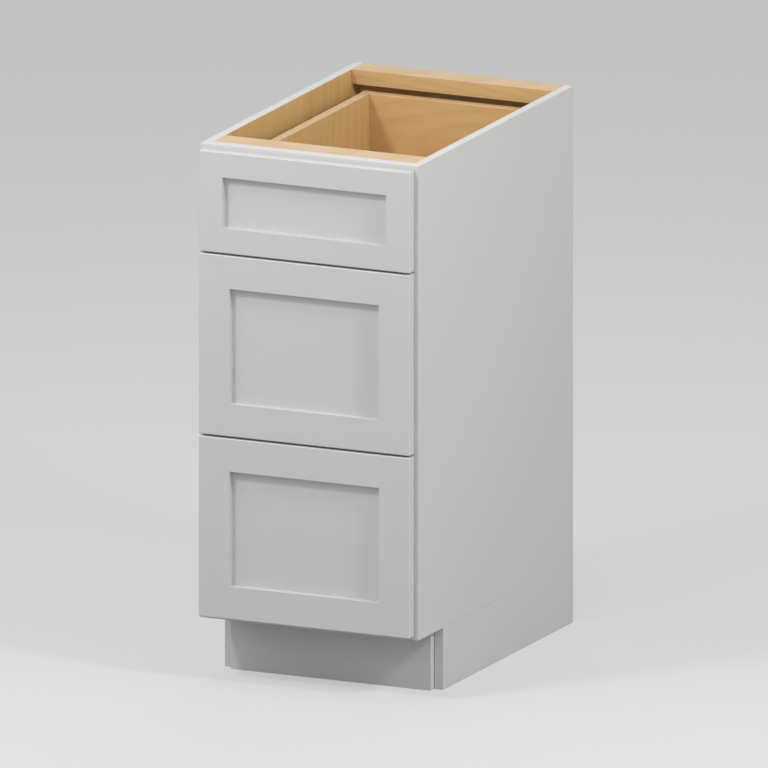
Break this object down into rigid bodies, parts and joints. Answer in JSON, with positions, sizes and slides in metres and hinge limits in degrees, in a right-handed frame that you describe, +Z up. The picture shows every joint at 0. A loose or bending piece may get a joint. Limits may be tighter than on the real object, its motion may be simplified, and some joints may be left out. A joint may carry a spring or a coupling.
{
  "type": "base cabinet with drawers",
  "caption": "Framed kitchen base cabinet on a recessed plinth, with painted frame-and-panel drawer fronts, dovetailed wooden drawer boxes and full-extension runners, open at the top.",
  "frame": {"origin": "on the floor, under the middle of the cabinet's width and of its depth with the drawer fronts", "axes": "+Z up, -Y out of the drawer fronts, +X to the right as seen from the front"},
  "size_m": [0.381, 0.6096, 0.8763],
  "materials": {
    "paint": "sprayed satin paint on wood, light warm grey white",
    "plywood": "clear satin lacquer on birch plywood",
    "hardwood": "clear satin lacquer on solid birch",
    "zinc_steel": "zinc-plated rolled steel"
  },
  "bodies": {
    "root": {"side_panel_left": "paint", "side_panel_right": "paint", "bottom_panel": "plywood", "back_panel": "plywood", "front_stretcher": "hardwood", "rear_stretcher": "hardwood", "plinth_side_left": "paint", "plinth_side_right": "paint", "plinth_front_rail": "plywood", "plinth_rear_rail": "plywood", "toe_kick_board": "paint", "face_frame": "paint", "top_runner_cabinet_member_left": "zinc_steel", "top_runner_cabinet_member_right": "zinc_steel", "middle_runner_cabinet_member_left": "zinc_steel", "middle_runner_cabinet_member_right": "zinc_steel", "bottom_runner_cabinet_member_left": "zinc_steel", "bottom_runner_cabinet_member_right": "zinc_steel"},
    "top_drawer": {"top_drawer_front_stile_left": "paint", "top_drawer_front_stile_right": "paint", "top_drawer_front_top_rail": "paint", "top_drawer_front_bottom_rail": "paint", "top_drawer_front_panel": "paint", "top_drawer_box_front": "hardwood", "top_drawer_box_back": "hardwood", "top_drawer_box_side_left": "hardwood", "top_drawer_box_side_right": "hardwood", "top_drawer_box_bottom": "plywood", "top_runner_drawer_member_left": "zinc_steel", "top_runner_drawer_member_right": "zinc_steel"},
    "top_beams": {"top_runner_beam_left": "zinc_steel", "top_runner_beam_right": "zinc_steel"},
    "middle_drawer": {"middle_drawer_front_stile_left": "paint", "middle_drawer_front_stile_right": "paint", "middle_drawer_front_top_rail": "paint", "middle_drawer_front_bottom_rail": "paint", "middle_drawer_front_panel": "paint", "middle_drawer_box_front": "hardwood", "middle_drawer_box_back": "hardwood", "middle_drawer_box_side_left": "hardwood", "middle_drawer_box_side_right": "hardwood", "middle_drawer_box_bottom": "plywood", "middle_runner_drawer_member_left": "zinc_steel", "middle_runner_drawer_member_right": "zinc_steel"},
    "middle_beams": {"middle_runner_beam_left": "zinc_steel", "middle_runner_beam_right": "zinc_steel"},
    "bottom_drawer": {"bottom_drawer_front_stile_left": "paint", "bottom_drawer_front_stile_right": "paint", "bottom_drawer_front_top_rail": "paint", "bottom_drawer_front_bottom_rail": "paint", "bottom_drawer_front_panel": "paint", "bottom_drawer_box_front": "hardwood", "bottom_drawer_box_back": "hardwood", "bottom_drawer_box_side_left": "hardwood", "bottom_drawer_box_side_right": "hardwood", "bottom_drawer_box_bottom": "plywood", "bottom_runner_drawer_member_left": "zinc_steel", "bottom_runner_drawer_member_right": "zinc_steel"},
    "bottom_beams": {"bottom_runner_beam_left": "zinc_steel", "bottom_runner_beam_right": "zinc_steel"}
  },
  "joints": [
    {"name": "top_drawer_slide", "type": "slide", "parent": "root", "child": "top_drawer", "axis": [0, -1, 0], "range_m": [0, 0.52]},
    {"name": "top_beams_slide", "type": "slide", "parent": "root", "child": "top_beams", "axis": [0, -1, 0], "range_m": [0, 0.26]},
    {"name": "middle_drawer_slide", "type": "slide", "parent": "root", "child": "middle_drawer", "axis": [0, -1, 0], "range_m": [0, 0.52]},
    {"name": "middle_beams_slide", "type": "slide", "parent": "root", "child": "middle_beams", "axis": [0, -1, 0], "range_m": [0, 0.26]},
    {"name": "bottom_drawer_slide", "type": "slide", "parent": "root", "child": "bottom_drawer", "axis": [0, -1, 0], "range_m": [0, 0.52]},
    {"name": "bottom_beams_slide", "type": "slide", "parent": "root", "child": "bottom_beams", "axis": [0, -1, 0], "range_m": [0, 0.26]}
  ],
  "couplings": [
    {"joint": "top_beams_slide", "follows": "top_drawer_slide", "ratio": 0.5},
    {"joint": "middle_beams_slide", "follows": "middle_drawer_slide", "ratio": 0.5},
    {"joint": "bottom_beams_slide", "follows": "bottom_drawer_slide", "ratio": 0.5}
  ]
}
